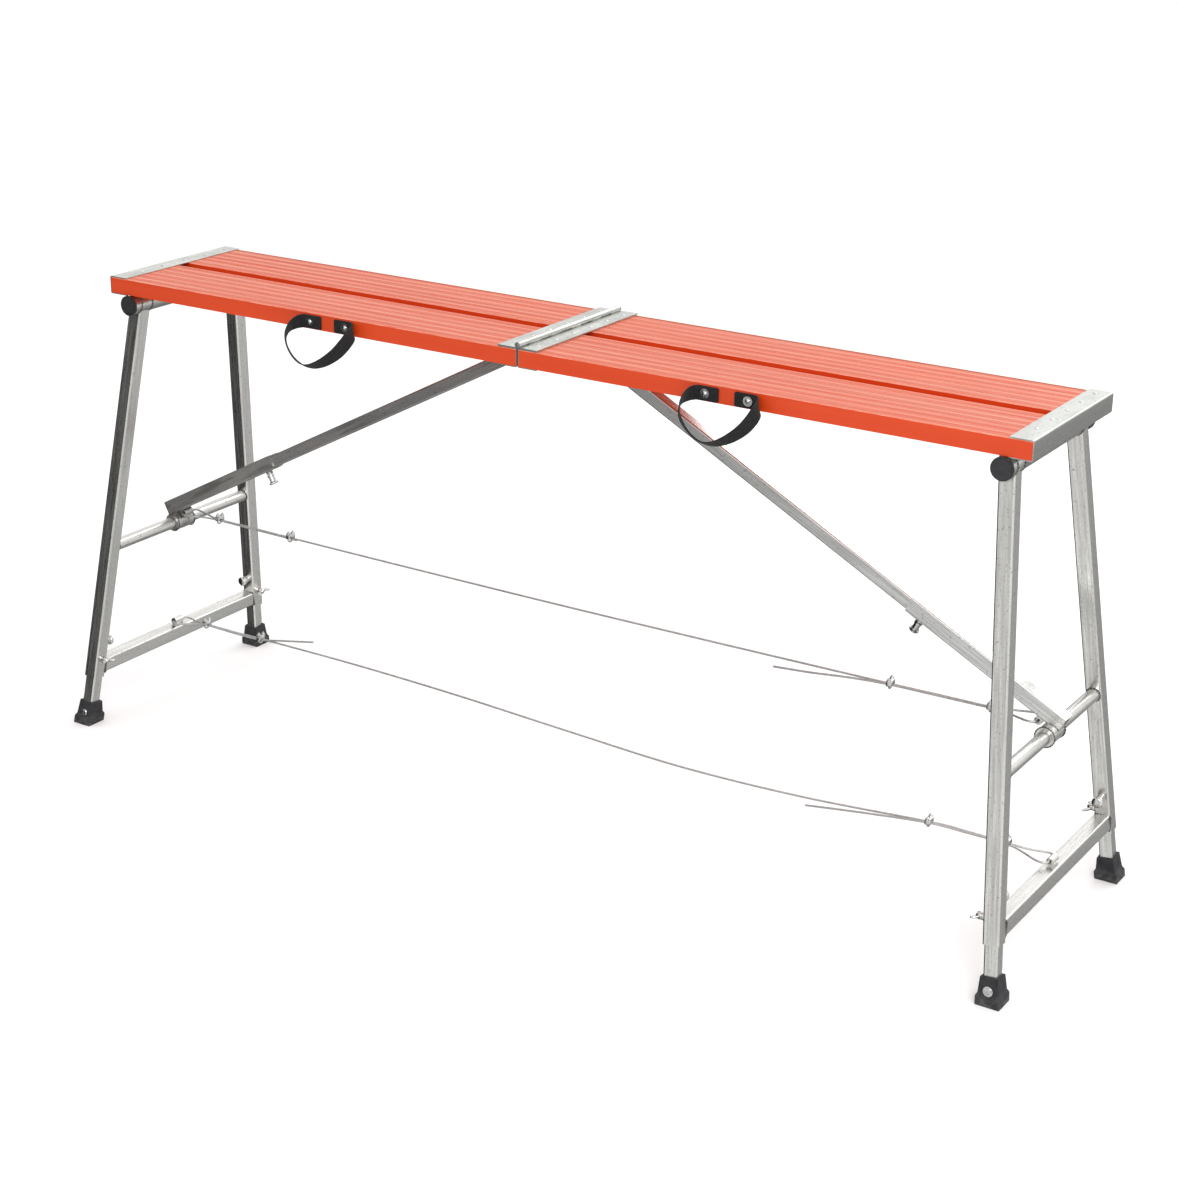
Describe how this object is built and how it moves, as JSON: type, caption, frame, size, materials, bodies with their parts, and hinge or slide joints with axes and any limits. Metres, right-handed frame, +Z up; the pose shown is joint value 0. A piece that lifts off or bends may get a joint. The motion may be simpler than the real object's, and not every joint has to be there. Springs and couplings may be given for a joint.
{
  "type": "folding work bench",
  "caption": "Long narrow folding trestle bench: a ribbed hollow deck hinged in the middle, A-frame legs with telescopic braces, sliding leg extensions and wire ropes.",
  "frame": {"origin": "on the floor, below the middle of the deck", "axes": "+X along the deck to the end whose hinge leaf starts with the second knuckle, +Y to the rear edge without handles, +Z up"},
  "size_m": [1.7826, 0.4948, 0.8112],
  "materials": {
    "deck_orange": "matt orange powder coat on ribbed aluminium profile",
    "cap_sheet": "bright zinc-plated sheet",
    "rivet_steel": "zinc-plated rivets",
    "galvanised_tube": "galvanised, dull with a soft grain",
    "bright_steel": "bright zinc plate",
    "wire_rope": "twisted galvanised wire",
    "webbing": "black woven webbing",
    "plug_plastic": "matt black plastic",
    "foot_rubber": "matt black rubber"
  },
  "bodies": {
    "deck_left": {"plank_front_left": "deck_orange", "plank_rear_left": "deck_orange", "end_cap_left": "cap_sheet", "axle_left": "bright_steel", "axle_plugs_left": "plug_plastic", "joint_cap_left": "cap_sheet", "hinge_leaf_left": "cap_sheet", "hinge_pin": "bright_steel", "rivets_left": "rivet_steel", "strap_left": "webbing", "brace_bracket_left": "bright_steel", "rope_clips_left": "bright_steel", "rope_clips_right": "bright_steel", "rope_upper": "wire_rope", "rope_lower": "wire_rope"},
    "deck_right": {"plank_front_right": "deck_orange", "plank_rear_right": "deck_orange", "end_cap_right": "cap_sheet", "axle_right": "bright_steel", "axle_plugs_right": "plug_plastic", "joint_cap_right": "cap_sheet", "hinge_leaf_right": "cap_sheet", "rivets_right": "rivet_steel", "strap_right": "webbing", "brace_bracket_right": "bright_steel"},
    "leg_frame_left": {"leg_front_left": "galvanised_tube", "leg_rear_left": "galvanised_tube", "upper_bar_left": "galvanised_tube", "lower_bar_left": "galvanised_tube"},
    "brace_outer_left": {"brace_sleeve_left": "galvanised_tube"},
    "brace_slider_left": {"brace_inner_left": "galvanised_tube"},
    "brace_pin_left": {"brace_pin_left": "bright_steel"},
    "extension_front_left": {"extension_front_left": "galvanised_tube", "foot_front_left": "foot_rubber", "foot_screw_front_left": "bright_steel"},
    "leg_pin_front_left": {"leg_pin_front_left": "bright_steel"},
    "wing_bolt_front_left": {"wing_bolt_front_left": "bright_steel"},
    "extension_rear_left": {"extension_rear_left": "galvanised_tube", "foot_rear_left": "foot_rubber", "foot_screw_rear_left": "bright_steel"},
    "leg_pin_rear_left": {"leg_pin_rear_left": "bright_steel"},
    "wing_bolt_rear_left": {"wing_bolt_rear_left": "bright_steel"},
    "leg_frame_right": {"leg_front_right": "galvanised_tube", "leg_rear_right": "galvanised_tube", "upper_bar_right": "galvanised_tube", "lower_bar_right": "galvanised_tube"},
    "brace_outer_right": {"brace_sleeve_right": "galvanised_tube"},
    "brace_slider_right": {"brace_inner_right": "galvanised_tube"},
    "brace_pin_right": {"brace_pin_right": "bright_steel"},
    "extension_front_right": {"extension_front_right": "galvanised_tube", "foot_front_right": "foot_rubber", "foot_screw_front_right": "bright_steel"},
    "leg_pin_front_right": {"leg_pin_front_right": "bright_steel"},
    "wing_bolt_front_right": {"wing_bolt_front_right": "bright_steel"},
    "extension_rear_right": {"extension_rear_right": "galvanised_tube", "foot_rear_right": "foot_rubber", "foot_screw_rear_right": "bright_steel"},
    "leg_pin_rear_right": {"leg_pin_rear_right": "bright_steel"},
    "wing_bolt_rear_right": {"wing_bolt_rear_right": "bright_steel"}
  },
  "joints": [
    {"name": "deck_fold", "type": "hinge", "parent": "deck_left", "child": "deck_right", "pos_m": [0, 0, 0.8065], "axis": [0, -1, 0], "range_deg": [0, 180], "deforming": ["rope_upper", "rope_lower", "rope_clips_left", "rope_clips_right"]},
    {"name": "leg_fold_left", "type": "hinge", "parent": "deck_left", "child": "leg_frame_left", "pos_m": [-0.7934, 0, 0.7555], "axis": [0, -1, 0], "range_deg": [0, 91], "deforming": ["strap_left"]},
    {"name": "brace_turn_left", "type": "hinge", "parent": "leg_frame_left", "child": "brace_outer_left", "pos_m": [-0.83875, 0, 0.324], "axis": [0, 1, 0], "range_deg": [0, 116.27]},
    {"name": "brace_slide_left", "type": "slide", "parent": "brace_outer_left", "child": "brace_slider_left", "axis": [-0.8834, 0, -0.4687], "range_m": [0, 0.592]},
    {"name": "brace_pin_pull_left", "type": "slide", "parent": "brace_outer_left", "child": "brace_pin_left", "axis": [0.4687, 0, -0.8834], "range_m": [0, 0.007], "stiffness_N_per_m": 400, "springref_m": -0.004},
    {"name": "extend_front_left", "type": "slide", "parent": "leg_frame_left", "child": "extension_front_left", "axis": [-0.1035, -0.1426, -0.9844], "range_m": [0, 0.25]},
    {"name": "leg_pin_pull_front_left", "type": "slide", "parent": "leg_frame_left", "child": "leg_pin_front_left", "axis": [-0.0149, 0.9898, -0.1418], "range_m": [0, 0.007], "stiffness_N_per_m": 400, "springref_m": -0.004},
    {"name": "wing_turn_front_left", "type": "hinge", "parent": "leg_frame_left", "child": "wing_bolt_front_left", "pos_m": [-0.85998, -0.21119, 0.122], "axis": [0.9945, 0, -0.1045], "continuous": true},
    {"name": "extend_rear_left", "type": "slide", "parent": "leg_frame_left", "child": "extension_rear_left", "axis": [-0.1035, 0.1426, -0.9844], "range_m": [0, 0.25]},
    {"name": "leg_pin_pull_rear_left", "type": "slide", "parent": "leg_frame_left", "child": "leg_pin_rear_left", "axis": [-0.0149, -0.9898, -0.1418], "range_m": [0, 0.007], "stiffness_N_per_m": 400, "springref_m": -0.004},
    {"name": "wing_turn_rear_left", "type": "hinge", "parent": "leg_frame_left", "child": "wing_bolt_rear_left", "pos_m": [-0.85998, 0.21119, 0.122], "axis": [0.9945, 0, -0.1045], "continuous": true},
    {"name": "leg_fold_right", "type": "hinge", "parent": "deck_right", "child": "leg_frame_right", "pos_m": [0.7934, 0, 0.7555], "axis": [0, 1, 0], "range_deg": [0, 91], "deforming": ["strap_right"]},
    {"name": "brace_turn_right", "type": "hinge", "parent": "leg_frame_right", "child": "brace_outer_right", "pos_m": [0.83875, 0, 0.324], "axis": [0, -1, 0], "range_deg": [0, 116.27]},
    {"name": "brace_slide_right", "type": "slide", "parent": "brace_outer_right", "child": "brace_slider_right", "axis": [0.8834, 0, -0.4687], "range_m": [0, 0.592]},
    {"name": "brace_pin_pull_right", "type": "slide", "parent": "brace_outer_right", "child": "brace_pin_right", "axis": [-0.4687, 0, -0.8834], "range_m": [0, 0.007], "stiffness_N_per_m": 400, "springref_m": -0.004},
    {"name": "extend_front_right", "type": "slide", "parent": "leg_frame_right", "child": "extension_front_right", "axis": [0.1035, -0.1426, -0.9844], "range_m": [0, 0.25]},
    {"name": "leg_pin_pull_front_right", "type": "slide", "parent": "leg_frame_right", "child": "leg_pin_front_right", "axis": [0.0149, 0.9898, -0.1418], "range_m": [0, 0.007], "stiffness_N_per_m": 400, "springref_m": -0.004},
    {"name": "wing_turn_front_right", "type": "hinge", "parent": "leg_frame_right", "child": "wing_bolt_front_right", "pos_m": [0.85998, -0.21119, 0.122], "axis": [-0.9945, 0, -0.1045], "continuous": true},
    {"name": "extend_rear_right", "type": "slide", "parent": "leg_frame_right", "child": "extension_rear_right", "axis": [0.1035, 0.1426, -0.9844], "range_m": [0, 0.25]},
    {"name": "leg_pin_pull_rear_right", "type": "slide", "parent": "leg_frame_right", "child": "leg_pin_rear_right", "axis": [0.0149, -0.9898, -0.1418], "range_m": [0, 0.007], "stiffness_N_per_m": 400, "springref_m": -0.004},
    {"name": "wing_turn_rear_right", "type": "hinge", "parent": "leg_frame_right", "child": "wing_bolt_rear_right", "pos_m": [0.85998, 0.21119, 0.122], "axis": [-0.9945, 0, -0.1045], "continuous": true}
  ],
  "couplings": [
    {"joint": "brace_turn_left", "follows": "leg_fold_left", "ratio": 1.2765},
    {"joint": "brace_slide_left", "follows": "leg_fold_left", "m_per_rad": 0.37211},
    {"joint": "brace_turn_right", "follows": "leg_fold_right", "ratio": 1.2765},
    {"joint": "brace_slide_right", "follows": "leg_fold_right", "m_per_rad": 0.37211}
  ]
}
